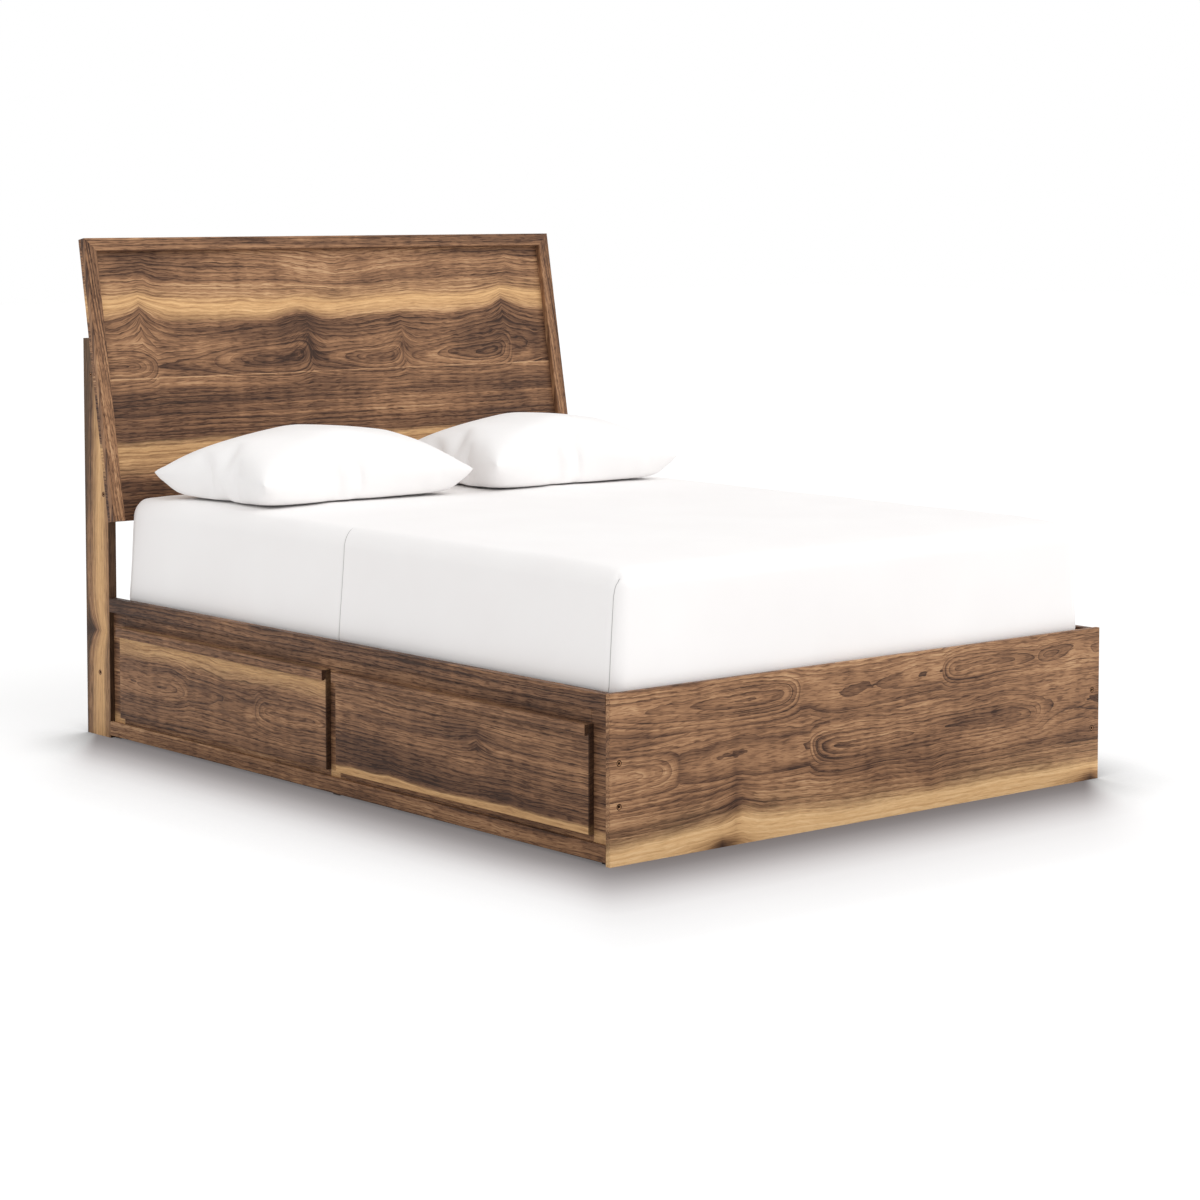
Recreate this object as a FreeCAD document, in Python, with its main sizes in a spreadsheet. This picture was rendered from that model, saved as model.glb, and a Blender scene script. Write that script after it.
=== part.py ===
"""Queen platform bed in walnut with four storage drawers, a leaning framed headboard,
a slatted deck, a mattress and two pillows.

Frame: +X across the bed, +Y towards the head, +Z up, in millimetres. The origin is on
the floor under the middle of the bed. The left side unit is modelled once; the right
one is the same unit turned half way round, as the maker ships it.
"""
import FreeCAD, Part
import math
import os
import re

import Sketcher
from FreeCAD import Placement, Rotation, Vector

# ---------------------------------------------------------------- driving dimensions
DIMS = {
    # the whole bed
    "bed_width": 1600,
    "side_length": 2065,
    "floor_gap": 6.5,
    "edge_ease": 1.5,
    "fit_gap": 0.2,
    # footboard
    "footboard_height": 380,
    "footboard_thickness": 15,
    "footboard_bolt_low": 130,
    "footboard_bolt_high": 226,
    # legs and headboard
    "leg_depth": 120,
    "leg_thickness": 23,
    "leg_height": 1072,
    "leg_top_depth": 30,
    "lean_start": 582,
    "headboard_length": 766,
    "panel_thickness": 12,
    "moulding_depth": 18,
    "moulding_width": 36,
    "back_rail_thickness": 20,
    "back_rail_height": 60,
    "upper_rail_drop": 97,
    "lower_rail_rise": 77,
    "base_rail_rise": 172,
    "base_rail_inset": 51,
    # side units
    "rail_height": 38,
    "rail_thickness": 22,
    "rail_top": 378,
    "stile_setback": 13,
    "stile_thickness": 27,
    "end_stile_shown": 54,
    "centre_stile_shown": 39,
    "front_overlay": 8,
    "tongue_thickness": 11,
    "tongue_rise": 32,
    "inner_rail_thickness": 18,
    "partition_thickness": 18,
    "unit_depth": 500,
    "back_panel_thickness": 15,
    # mattress deck
    "slat_top": 342,
    "slat_thickness": 20,
    "slat_width": 70,
    "slat_count": 13,
    "ledger_width": 22,
    "ledger_height": 30,
    "slat_end_gap": 2,
    "slat_margin": 40,
    # drawers
    "front_height": 245,
    "front_bottom": 61,
    "front_thickness": 14,
    "front_proud": 2,
    "pull_height": 25,
    "pull_depth": 12,
    "pull_cove": 4,
    "box_wood": 15,
    "box_height": 190,
    "box_bottom": 76,
    "box_depth": 462,
    "dado_depth": 5,
    "rear_thickness": 12,
    "rear_inset": 10,
    "tray_thickness": 6,
    "tray_rise": 10,
    # drawer runners
    "runner_length": 400,
    "runner_inset": 20,
    "runner_rise": 165,
    "runner_width": 12.7,
    "runner_steel": 1.2,
    "outer_height": 45,
    "outer_depth": 9.5,
    "middle_height": 32,
    "middle_start": 3.4,
    "middle_depth": 7.2,
    "inner_height": 20,
    "inner_depth": 5.6,
    # bolts and glides
    "bolt_shank": 3,
    "bolt_head": 7,
    "bolt_hole": 3.3,
    "bolt_reach": 40,
    "bolt_hole_spare": 5,
    "glide_size": 26,
    "glide_inset": 15,
    # bedding
    "mattress_height": 300,
    "mattress_side_gap": 12,
    "mattress_foot_gap": 10,
    "mattress_head_gap": 31,
    "mattress_corner": 60,
    "mattress_soft": 25,
    "pillow_edge_gap": 37,
    "pillow_middle_gap": 13,
    "pillow_depth": 520,
    "pillow_height": 196,
    "pillow_seam": 74,
    "pillow_corner": 125,
    "pillow_flat": 8,
    "pillow_from_head": 118,
    "rest_gap": 1,
}

doc = FreeCAD.newDocument("StorageBed")
sheet = doc.addObject("Spreadsheet::Sheet", "Dims")
for row, (alias, number) in enumerate(DIMS.items(), start=1):
    sheet.set(f"A{row}", alias)
    sheet.set(f"B{row}", str(number))
    sheet.setAlias(f"B{row}", alias)
doc.recompute()

# Derived lengths, written with the sheet's own words.
LEAN = "atan((leg_depth - leg_top_depth) / (leg_height - lean_start))"
OVERALL = f"(footboard_thickness + side_length + headboard_length * sin({LEAN}))"
UNIT_Y = f"(footboard_thickness - {OVERALL} / 2)"
LEG_Y = f"({UNIT_Y} + side_length)"
FRONT = "((side_length - 2 * end_stile_shown - centre_stile_shown) / 2)"
OPENING = f"({FRONT} - 2 * front_overlay)"
STILE_BACK = "(stile_setback + stile_thickness)"
END_STILE = "(end_stile_shown + front_overlay)"
CENTRE_STILE = "(centre_stile_shown + 2 * front_overlay)"
RAIL_LAP = "(rail_thickness - stile_setback)"
SLAT_BOTTOM = "(slat_top - slat_thickness)"
BOX_WIDTH = f"({OPENING} - 2 * runner_width)"
DADO_FLOOR = "(front_thickness - front_proud - dado_depth)"
SIDE_LENGTH = f"(box_depth - {DADO_FLOOR} - fit_gap)"
UPPER_RAIL_RISE = f"((leg_height - lean_start) / cos({LEAN}) - upper_rail_drop)"
MATTRESS_WIDTH = "(bed_width - 2 * rail_thickness - 2 * mattress_side_gap)"
MATTRESS_LENGTH = "(side_length - mattress_foot_gap - mattress_head_gap)"
MATTRESS_Y = f"({UNIT_Y} + mattress_foot_gap)"
PILLOW_LENGTH = f"({MATTRESS_WIDTH} / 2 - pillow_edge_gap - pillow_middle_gap)"
MATTRESS_TOP = "(slat_top + rest_gap + mattress_height)"
HEADBOARD_DEPTH = "(panel_thickness + moulding_depth)"
RAIL_SPAN = "(bed_width - 2 * leg_thickness)"

PARTS = []


def cells(text):
    """The expression with each alias pointed at its cell."""
    return re.sub(r"[a-z_]+", lambda hit: f"Dims.{hit[0]}" if hit[0] in DIMS else hit[0], text)


def bind(thing, prop, text):
    thing.setExpression(prop, cells(str(text)))


def keep(piece):
    """Counts a finished object as one of the bed's pieces."""
    PARTS.append(piece)
    return piece


# ------------------------------------------------------------------- modelling helpers
def new_body(label, spot=("0", "0", "0"), turn=None):
    """An empty body whose place, and turn about one axis, follow the sheet."""
    body = doc.addObject("PartDesign::Body", label)
    body.Label = label
    body.AllowCompound = True
    if turn:
        axis, angle = turn
        body.Placement = Placement(Vector(), Rotation(axis, 10))
        bind(body, "Placement.Rotation.Angle", angle)
    for letter, text in zip("xyz", spot):
        bind(body, f"Placement.Base.{letter}", text)
    return body


def in_unit(label, side, spot):
    """A body of a side unit, placed from the unit's outer, foot-end corner on the floor."""
    across, along, up = spot
    if side == "left":
        return new_body(label, (f"-bed_width / 2 + {across}", f"{UNIT_Y} + {along}", up))
    turned = (f"bed_width / 2 - ({across})", f"{UNIT_Y} + side_length - ({along})", up)
    return new_body(label, turned, (Vector(0, 0, 1), "180 + 0 * bed_width"))


def new_sketch(body, plane, start="0"):
    """A sketch on one of the body's own planes, moved along +X, +Y or +Z by start."""
    sketch = body.newObject("Sketcher::SketchObject", "Sketch")
    origin = next(f for f in body.Origin.OriginFeatures if f.Role == plane)
    sketch.AttachmentSupport = [(origin, "")]
    sketch.MapMode = "FlatFace"
    if start != "0":
        sign = "-1" if plane == "XZ_Plane" else "1"
        bind(sketch, "AttachmentOffset.Base.z", f"{sign} * ({start})")
    return sketch


def pin(sketch, geometry, end, across, up):
    """Holds one point of a sketch at a place given by two expressions."""
    for kind, axis, text in (("DistanceX", -2, across), ("DistanceY", -1, up)):
        if text == "0":
            sketch.addConstraint(Sketcher.Constraint("PointOnObject", geometry, end, axis))
        else:
            number = sketch.addConstraint(Sketcher.Constraint(kind, geometry, end, 10.0))
            bind(sketch, f"Constraints[{number}]", text)


def draw_outline(sketch, points):
    """A closed run of straight lines through points given as expression pairs."""
    count = len(points)
    spots = [
        Vector(100 * math.cos(2 * math.pi * i / count), 100 * math.sin(2 * math.pi * i / count), 0)
        for i in range(count)
    ]
    first = sketch.GeometryCount
    for i in range(count):
        sketch.addGeometry(Part.LineSegment(spots[i], spots[(i + 1) % count]))
    for i in range(count):
        following = first + (i + 1) % count
        sketch.addConstraint(Sketcher.Constraint("Coincident", first + i, 2, following, 1))
    for i, (across, up) in enumerate(points):
        pin(sketch, first + i, 1, across, up)


def draw_circles(sketch, centres, radius):
    for across, up in centres:
        number = sketch.addGeometry(Part.Circle(Vector(10, 10, 0), Vector(0, 0, 1), 5))
        pin(sketch, number, 3, across, up)
        size = sketch.addConstraint(Sketcher.Constraint("Radius", number, 5.0))
        bind(sketch, f"Constraints[{size}]", radius)


def rectangle(width, height, across="0", up="0"):
    if across == "0" and up == "0":
        return [("0", "0"), (width, "0"), (width, height), ("0", height)]
    right = f"{across} + {width}"
    top = f"{up} + {height}"
    return [(across, up), (right, up), (right, top), (across, top)]


def pad(body, plane, points, length, start="0"):
    """Raises an outline towards +X, +Y or +Z from its plane."""
    sketch = new_sketch(body, plane, start)
    draw_outline(sketch, points)
    feature = body.newObject("PartDesign::Pad", "Pad")
    feature.Profile = sketch
    bind(feature, "Length", length)
    feature.Reversed = plane == "XZ_Plane"
    return feature


def cut(body, plane, points, depth, start="0", radius=None):
    """Cuts an outline, or circles of a radius, towards +X, +Y or +Z, and checks it bites."""
    doc.recompute()
    before = body.Shape.Volume
    sketch = new_sketch(body, plane, start)
    if radius:
        draw_circles(sketch, points, radius)
    else:
        draw_outline(sketch, points)
    feature = body.newObject("PartDesign::Pocket", "Pocket")
    feature.Profile = sketch
    bind(feature, "Length", depth)
    feature.Reversed = plane != "XZ_Plane"
    doc.recompute()
    if body.Shape.Volume > before - 1:
        raise RuntimeError(f"a cut in {body.Label} removes nothing")
    return feature


def on_side(point, box, side):
    """Whether a point lies on one side of a box: -x, +x, -y, +y, -z or +z."""
    level = {
        "-x": point.x - box.XMin,
        "+x": box.XMax - point.x,
        "-y": point.y - box.YMin,
        "+y": box.YMax - point.y,
        "-z": point.z - box.ZMin,
        "+z": box.ZMax - point.z,
    }[side]
    return level < 0.01


def edges_along(shape, axis, side=None):
    """Names of the straight edges that run along an axis, on one side of the shape."""
    names = []
    for number, edge in enumerate(shape.Edges, start=1):
        straight = edge.Curve.TypeId == "Part::GeomLine"
        if not straight or abs(edge.Curve.Direction.dot(axis)) < 0.999:
            continue
        if side is None or on_side(edge.CenterOfMass, shape.BoundBox, side):
            names.append(f"Edge{number}")
    return names


def dress(body, kind, size, names):
    """A fillet or chamfer on named edges of the body's last feature."""
    base = body.Tip
    feature = body.newObject(f"PartDesign::{kind}", kind)
    feature.Base = (base, names)
    bind(feature, "Radius" if kind == "Fillet" else "Size", size)
    doc.recompute()
    return feature


def soften(body, axis, size="edge_ease", side=None):
    """Eases the edges of a board that run along an axis, all of them or one side's."""
    doc.recompute()
    return dress(body, "Chamfer", size, edges_along(body.Tip.Shape, axis, side))


def countersink(body, side):
    """Opens the mouths of the bolt holes on one side of a board for the bolts' heads."""
    shape = body.Tip.Shape
    names = [
        f"Edge{number}" for number, edge in enumerate(shape.Edges, start=1)
        if edge.Curve.TypeId == "Part::GeomCircle"
        and on_side(edge.CenterOfMass, shape.BoundBox, side)
    ]
    return dress(body, "Chamfer", "bolt_head - bolt_shank + fit_gap", names)


def mirror(body, plane):
    """Repeats the body's last feature on the far side of one of its own planes."""
    original = body.Tip
    origin = next(f for f in body.Origin.OriginFeatures if f.Role == plane)
    feature = body.newObject("PartDesign::Mirrored", "Mirrored")
    feature.Originals = [original]
    feature.MirrorPlane = (origin, [""])
    body.Tip = feature
    return feature


def group(label, pieces):
    """Like pieces that share one node and stay separate solids."""
    compound = doc.addObject("Part::Compound", label)
    compound.Label = label
    compound.Links = pieces
    return keep(compound)


X_AXIS = Vector(1, 0, 0)
Y_AXIS = Vector(0, 1, 0)
Z_AXIS = Vector(0, 0, 1)


# --------------------------------------------------------------------------- footboard
# One veneered board across the foot, down to the floor, bolted to the foot uprights.
BOLT_INSET = "(stile_setback + stile_thickness / 2)"
BOLT_BORE = "(bolt_reach + bolt_hole_spare)"
FOOT_BOLT_HEIGHTS = ("footboard_bolt_low", "footboard_bolt_high")


def make_footboard():
    board = new_body("footboard", ("-bed_width / 2", f"-{OVERALL} / 2", "0"))
    pad(board, "XZ_Plane", rectangle("bed_width", "footboard_height"), "footboard_thickness")
    centres = [
        (across, up)
        for across in (BOLT_INSET, f"bed_width - {BOLT_INSET}")
        for up in FOOT_BOLT_HEIGHTS
    ]
    cut(board, "XZ_Plane", centres, "footboard_thickness + 1", radius="bolt_hole")
    countersink(board, "-y")
    soften(board, Z_AXIS)
    soften(board, X_AXIS, side="+z")
    keep(board)


# ---------------------------------------------------------------- legs and back rails
# Two boards on edge carry the headboard on their sloping fronts. Three equal rails
# bolt between them: two lie flat against the headboard's back, one is near the floor.
def leaning(along, up):
    """Place in a leg's side view of a point given along and up the leaning back."""
    return (f"{along} * cos({LEAN}) + {up} * sin({LEAN})",
            f"lean_start - {along} * sin({LEAN}) + {up} * cos({LEAN})")


RAIL_SPOTS = {
    "upper": leaning("back_rail_thickness / 2", UPPER_RAIL_RISE),
    "lower": leaning("back_rail_thickness / 2", "lower_rail_rise"),
    "base": ("base_rail_inset", "base_rail_rise"),
}
BED_BOLT_HEIGHTS = ("(floor_gap + rail_height / 2)", "(rail_top - rail_height / 2)")


def make_leg(label, side):
    across = "-bed_width / 2" if side == "left" else "bed_width / 2 - leg_thickness"
    leg = new_body(label, (across, LEG_Y, "0"))
    side_view = [
        ("0", "0"),
        ("leg_depth", "0"),
        ("leg_depth", "leg_height"),
        ("leg_depth - leg_top_depth", "leg_height"),
        ("0", "lean_start"),
    ]
    pad(leg, "YZ_Plane", side_view, "leg_thickness")
    cut(leg, "YZ_Plane", list(RAIL_SPOTS.values()), "leg_thickness + 1", radius="bolt_hole")
    countersink(leg, "-x" if side == "left" else "+x")
    long_bolts = [("rail_thickness / 2", up) for up in BED_BOLT_HEIGHTS]
    if side == "right":
        long_bolts = [("leg_thickness - rail_thickness / 2", up) for up in BED_BOLT_HEIGHTS]
    cut(leg, "XZ_Plane", long_bolts, "leg_depth + 1", radius="bolt_hole")
    countersink(leg, "+y")
    soften(leg, Z_AXIS, side="+y")
    keep(leg)


def make_back_rail(name):
    rail_start = "-bed_width / 2 + leg_thickness"
    if name == "base":
        spot = (rail_start, f"{LEG_Y} + base_rail_inset - back_rail_thickness / 2",
                "base_rail_rise - back_rail_height / 2")
        rail = new_body("back_rail_" + name, spot)
    else:
        rise = UPPER_RAIL_RISE if name == "upper" else "lower_rail_rise"
        along, up = leaning("0", f"({rise} - back_rail_height / 2)")
        rail = new_body("back_rail_" + name, (rail_start, f"{LEG_Y} + {along}", up),
                        (X_AXIS, f"-{LEAN}"))
    pad(rail, "YZ_Plane", rectangle("back_rail_thickness", "back_rail_height"), RAIL_SPAN)
    centre = [("back_rail_thickness / 2", "back_rail_height / 2")]
    for start in ("0", f"{RAIL_SPAN} - {BOLT_BORE}"):
        cut(rail, "YZ_Plane", centre, BOLT_BORE, start, "bolt_hole")
    soften(rail, X_AXIS)
    return rail


# --------------------------------------------------------------------------- headboard
# A flat panel, framed on three sides by mouldings mitred at the top corners, leans
# back on the legs. Its own frame has the panel's back in the XZ plane.
def headboard_body(label, across, behind, rise):
    """A body in the headboard's leaning frame, given how far behind its back it starts."""
    along, up = leaning(behind, rise)
    return new_body(label, (f"-bed_width / 2 + {across}", f"{LEG_Y} + {along}", up),
                    (X_AXIS, f"-{LEAN}"))


def make_headboard():
    panel = headboard_body("headboard_panel", "0", "(0 - panel_thickness)", "0")
    pad(panel, "XZ_Plane", rectangle("bed_width", "headboard_length"), "panel_thickness")
    keep(panel)

    front = f"(0 - {HEADBOARD_DEPTH})"
    top = headboard_body("headboard_top_rail", "0", front, "(headboard_length - moulding_width)")
    mitred = [
        ("moulding_width", "0"),
        ("bed_width - moulding_width", "0"),
        ("bed_width", "moulding_width"),
        ("0", "moulding_width"),
    ]
    pad(top, "XZ_Plane", mitred, "moulding_depth")
    soften(top, X_AXIS, side="-y")
    keep(top)

    stile = [
        ("0", "0"),
        ("moulding_width", "0"),
        ("moulding_width", "headboard_length - moulding_width"),
        ("0", "headboard_length"),
    ]
    left = headboard_body("headboard_left_stile", "0", front, "0")
    pad(left, "XZ_Plane", stile, "moulding_depth")
    soften(left, Z_AXIS, side="-y")
    keep(left)

    other = [(f"moulding_width - {x}" if x != "0" else "moulding_width", y) for x, y in stile]
    other = [("0" if x == "moulding_width - moulding_width" else x, y) for x, y in other]
    right = headboard_body("headboard_right_stile", "bed_width - moulding_width", front, "0")
    pad(right, "XZ_Plane", other, "moulding_depth")
    soften(right, Z_AXIS, side="-y")
    keep(right)


# -------------------------------------------------------------------------- side units
# Each unit is a face frame on glides: a top and a bottom rail, and set back behind them
# three uprights with an inner rail over and under each drawer; a panel closes the back.
# An upright is a stile glued to its runner partitions.
def make_rails(side):
    for name, rise in (("bottom", "floor_gap"), ("top", "rail_top - rail_height")):
        rail = in_unit(f"{side}_{name}_rail", side, ("0", "0", rise))
        pad(rail, "XZ_Plane", rectangle("rail_thickness", "rail_height"), "side_length")
        start = f"side_length - {BOLT_BORE}" if side == "left" else "0"
        middle = [("rail_thickness / 2", "rail_height / 2")]
        cut(rail, "XZ_Plane", middle, BOLT_BORE, start, "bolt_hole")
        soften(rail, Y_AXIS, side="-x")
        keep(rail)


STILE_SIDE_VIEW = [
    ("0", "rail_height"),
    ("0", "rail_top - rail_height - floor_gap"),
    (RAIL_LAP, "rail_top - rail_height - floor_gap"),
    (RAIL_LAP, "rail_top - rail_height - floor_gap + tongue_rise"),
    (f"{RAIL_LAP} + tongue_thickness", "rail_top - rail_height - floor_gap + tongue_rise"),
    (f"{RAIL_LAP} + tongue_thickness", "slat_top - floor_gap"),
    ("stile_thickness", "slat_top - floor_gap"),
    ("stile_thickness", "0"),
    (RAIL_LAP, "0"),
    (RAIL_LAP, "rail_height"),
]
PARTITION_LENGTH = f"(unit_depth - back_panel_thickness - {STILE_BACK})"
PARTITION_HEIGHT = f"({SLAT_BOTTOM} - ledger_height - floor_gap)"


def make_upright(side, place):
    """place is near, middle or far, counted from the unit's own start."""
    width = CENTRE_STILE if place == "middle" else END_STILE
    along = {
        "near": "0",
        "middle": f"(side_length - {CENTRE_STILE}) / 2",
        "far": f"side_length - {END_STILE}",
    }[place]
    end = {"near": "foot", "middle": "centre", "far": "head"}
    if side == "right":
        end = {"near": "head", "middle": "centre", "far": "foot"}
    label = f"{side}_{end[place]}_upright"
    upright = in_unit(label, side, ("stile_setback", along, "floor_gap"))
    pad(upright, "XZ_Plane", STILE_SIDE_VIEW, width)
    sheets = {
        "near": [f"{width} - partition_thickness"],
        "middle": ["0", f"{width} - partition_thickness"],
        "far": ["0"],
    }[place]
    for start in sheets:
        board = rectangle("partition_thickness", PARTITION_HEIGHT)
        if start != "0":
            board = [(f"{start} + {x}" if x != "0" else start, y) for x, y in board]
        pad(upright, "YZ_Plane", board, PARTITION_LENGTH, "stile_thickness")
    if end[place] == "foot":
        start = "0" if side == "left" else f"{width} - {BOLT_BORE}"
        centres = [("stile_thickness / 2", f"{up} - floor_gap") for up in FOOT_BOLT_HEIGHTS]
        cut(upright, "XZ_Plane", centres, BOLT_BORE, start, "bolt_hole")
    doc.recompute()
    shown = edges_along(upright.Tip.Shape, Z_AXIS, "-x")
    dress(upright, "Chamfer", "edge_ease", shown)
    keep(upright)


def make_back_panel(side):
    panel = in_unit(f"{side}_back_panel", side,
                    ("unit_depth - back_panel_thickness", "0", "floor_gap"))
    height = f"{SLAT_BOTTOM} - floor_gap"
    pad(panel, "YZ_Plane", rectangle("side_length", height), "back_panel_thickness")
    return panel


# ------------------------------------------------------------------------ mattress deck
# Cross slats lie loose on a ledger along each side and on the two back panels.
def make_deck():
    length = f"(bed_width - 2 * {STILE_BACK} - 2 * slat_end_gap)"
    run = "(side_length - 2 * slat_margin)"
    first = f"{UNIT_Y} + slat_margin - slat_width / 2"
    slats = new_body("slats", (f"-{length} / 2", first, SLAT_BOTTOM))
    pad(slats, "YZ_Plane", rectangle("slat_width", "slat_thickness"), length)
    soften(slats, X_AXIS, "2 * edge_ease")
    solid = [f for f in slats.Group if f.TypeId in ("PartDesign::Pad", "PartDesign::Chamfer")]
    pattern = slats.newObject("PartDesign::LinearPattern", "LinearPattern")
    pattern.Originals = solid
    along = next(f for f in slats.Origin.OriginFeatures if f.Role == "Y_Axis")
    pattern.Direction = (along, [""])
    bind(pattern, "Length", run)
    bind(pattern, "Occurrences", "slat_count")
    slats.Tip = pattern
    keep(slats)

    ledgers = new_body("slat_ledgers", ("0", UNIT_Y, f"{SLAT_BOTTOM} - ledger_height"))
    inner = f"bed_width / 2 - {STILE_BACK} - ledger_width"
    outer = f"bed_width / 2 - {STILE_BACK}"
    section = [(inner, "0"), (outer, "0"), (outer, "ledger_height"), (inner, "ledger_height")]
    pad(ledgers, "XZ_Plane", section, "side_length")
    doc.recompute()
    mirror(ledgers, "YZ_Plane")
    keep(ledgers)


# ----------------------------------------------------------------------------- drawers
# An overlay front with a solid pull glued along its top edge; two sides and a rear
# housed in dadoes; a thin tray let into grooves. It hangs on two ball runners.
def drawer_start(bay):
    """How far along its unit the drawer front begins; bay 1 is the far one, 2 the near."""
    if bay == 2:
        return "end_stile_shown"
    return f"(end_stile_shown + {FRONT} + centre_stile_shown)"


def make_inner_rails(side, bay):
    """The strips that the drawer front laps, between two uprights."""
    start = f"{drawer_start(bay)} + front_overlay"
    low = "(floor_gap + rail_height)"
    high = "(front_bottom + front_height - front_overlay)"
    heights = {
        low: f"front_bottom + front_overlay - {low}",
        high: f"rail_top - rail_height - {high}",
    }
    strips = []
    for up, height in heights.items():
        strip = in_unit("inner_rail", side, ("stile_setback", start, up))
        pad(strip, "YZ_Plane", rectangle(OPENING, height), "inner_rail_thickness")
        strips.append(strip)
    return strips


BOX_START = "(front_overlay + runner_width)"
GROOVE = "(tray_thickness + fit_gap)"


def make_drawer(side, bay):
    """The left unit's far bay is at the head; the right unit is turned, so its far bay is
    at the foot."""
    at_head = (side == "left") == (bay == 1)
    name = f"{side}_{'head' if at_head else 'foot'}_drawer"
    hands = ("foot", "head") if side == "left" else ("head", "foot")
    along = drawer_start(bay)
    box_rise = "(box_bottom - front_bottom)"

    front = in_unit(f"{name}_front", side, ("(0 - front_proud)", along, "front_bottom"))
    pad(front, "YZ_Plane", rectangle(FRONT, "front_height"), "front_thickness")
    housings = (BOX_START, f"({FRONT} - {BOX_START} - box_wood)")
    for start in housings:
        slot = rectangle("box_wood + 2 * fit_gap", "box_height + 2 * fit_gap",
                         f"{start} - fit_gap", f"{box_rise} - fit_gap")
        cut(front, "YZ_Plane", slot, "dado_depth + 1", "front_thickness - dado_depth")
    tray_slot = rectangle(f"{BOX_WIDTH} - 2 * box_wood", GROOVE,
                          f"{BOX_START} + box_wood", f"{box_rise} + tray_rise - fit_gap / 2")
    cut(front, "YZ_Plane", tray_slot, "dado_depth + 1", "front_thickness - dado_depth")
    soften(front, Z_AXIS, side="-x")
    soften(front, Y_AXIS, side="-x")
    keep(front)

    pull = in_unit(f"{name}_pull", side, ("(0 - front_proud - pull_depth)", along,
                                          "front_bottom + front_height - pull_height"))
    make_pull_bar(pull)
    keep(pull)

    reach = (f"{DADO_FLOOR} + fit_gap", "box_bottom")
    rear_slot = f"{SIDE_LENGTH} - rear_inset - rear_thickness"
    for hand, start in zip(hands, housings):
        board = in_unit(f"{name}_{hand}_side", side, (reach[0], f"{along} + {start}", reach[1]))
        pad(board, "XZ_Plane", rectangle(SIDE_LENGTH, "box_height"), "box_wood")
        inner = "box_wood - dado_depth" if hand == hands[0] else "0"
        groove = rectangle(SIDE_LENGTH, GROOVE, "0", "tray_rise - fit_gap / 2")
        groove = [("0" if x == "0" else SIDE_LENGTH, y) for x, y in groove]
        cut(board, "XZ_Plane", groove, "dado_depth", inner)
        slot = rectangle("rear_thickness + fit_gap", "box_height",
                         f"{rear_slot} - fit_gap / 2", "tray_rise + tray_thickness + fit_gap")
        cut(board, "XZ_Plane", slot, "dado_depth", inner)
        soften(board, X_AXIS, side="+z")
        keep(board)

    inside = f"({BOX_WIDTH} - 2 * box_wood)"
    housed = "(dado_depth - fit_gap)"
    rear = in_unit(f"{name}_rear", side, (
        f"{reach[0]} + {rear_slot}",
        f"{along} + {BOX_START} + box_wood - {housed}",
        "box_bottom + tray_rise + tray_thickness + fit_gap",
    ))
    rear_height = "box_height - tray_rise - tray_thickness - fit_gap"
    pad(rear, "YZ_Plane", rectangle(f"{inside} + 2 * {housed}", rear_height), "rear_thickness")
    soften(rear, Y_AXIS, side="+z")
    keep(rear)

    tray = in_unit(f"{name}_tray", side, (
        reach[0],
        f"{along} + {BOX_START} + box_wood - {housed}",
        "box_bottom + tray_rise",
    ))
    corner = "dado_depth"
    plan = [
        (corner, "0"),
        (SIDE_LENGTH, "0"),
        (SIDE_LENGTH, f"{inside} + 2 * {housed}"),
        (corner, f"{inside} + 2 * {housed}"),
        (corner, f"{inside} + {housed} - fit_gap"),
        ("0", f"{inside} + {housed} - fit_gap"),
        ("0", f"{housed} + fit_gap"),
        (corner, f"{housed} + fit_gap"),
    ]
    pad(tray, "XY_Plane", plan, "tray_thickness")
    keep(tray)

    make_runners(name, side, along)


def make_pull_bar(bar):
    """A bar with a quarter-round finger cove under its inner edge."""
    sketch = new_sketch(bar, "XZ_Plane")
    deep, high, round_by = (DIMS[name] for name in ("pull_depth", "pull_height", "pull_cove"))
    corners = [(deep, round_by), (deep, high), (0, high), (0, 0), (deep - round_by, 0)]
    for start, end in zip(corners, corners[1:]):
        sketch.addGeometry(Part.LineSegment(Vector(*start, 0), Vector(*end, 0)))
    circle = Part.Circle(Vector(deep, 0, 0), Vector(0, 0, 1), round_by)
    cove = sketch.addGeometry(Part.ArcOfCircle(circle, math.pi / 2, math.pi))
    for number in range(3):
        sketch.addConstraint(Sketcher.Constraint("Coincident", number, 2, number + 1, 1))
    sketch.addConstraint(Sketcher.Constraint("Coincident", cove, 1, 0, 1))
    sketch.addConstraint(Sketcher.Constraint("Coincident", cove, 2, 3, 2))
    pin(sketch, cove, 3, "pull_depth", "0")
    pin(sketch, 0, 1, "pull_depth", "pull_cove")
    pin(sketch, 1, 1, "pull_depth", "pull_height")
    pin(sketch, 2, 1, "0", "pull_height")
    pin(sketch, 3, 1, "0", "0")
    sketch.addConstraint(Sketcher.Constraint("PointOnObject", 3, 2, -1))
    feature = bar.newObject("PartDesign::Pad", "Pad")
    feature.Profile = sketch
    feature.Reversed = True
    bind(feature, "Length", FRONT)
    soften(bar, Y_AXIS, side="-x")


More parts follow.
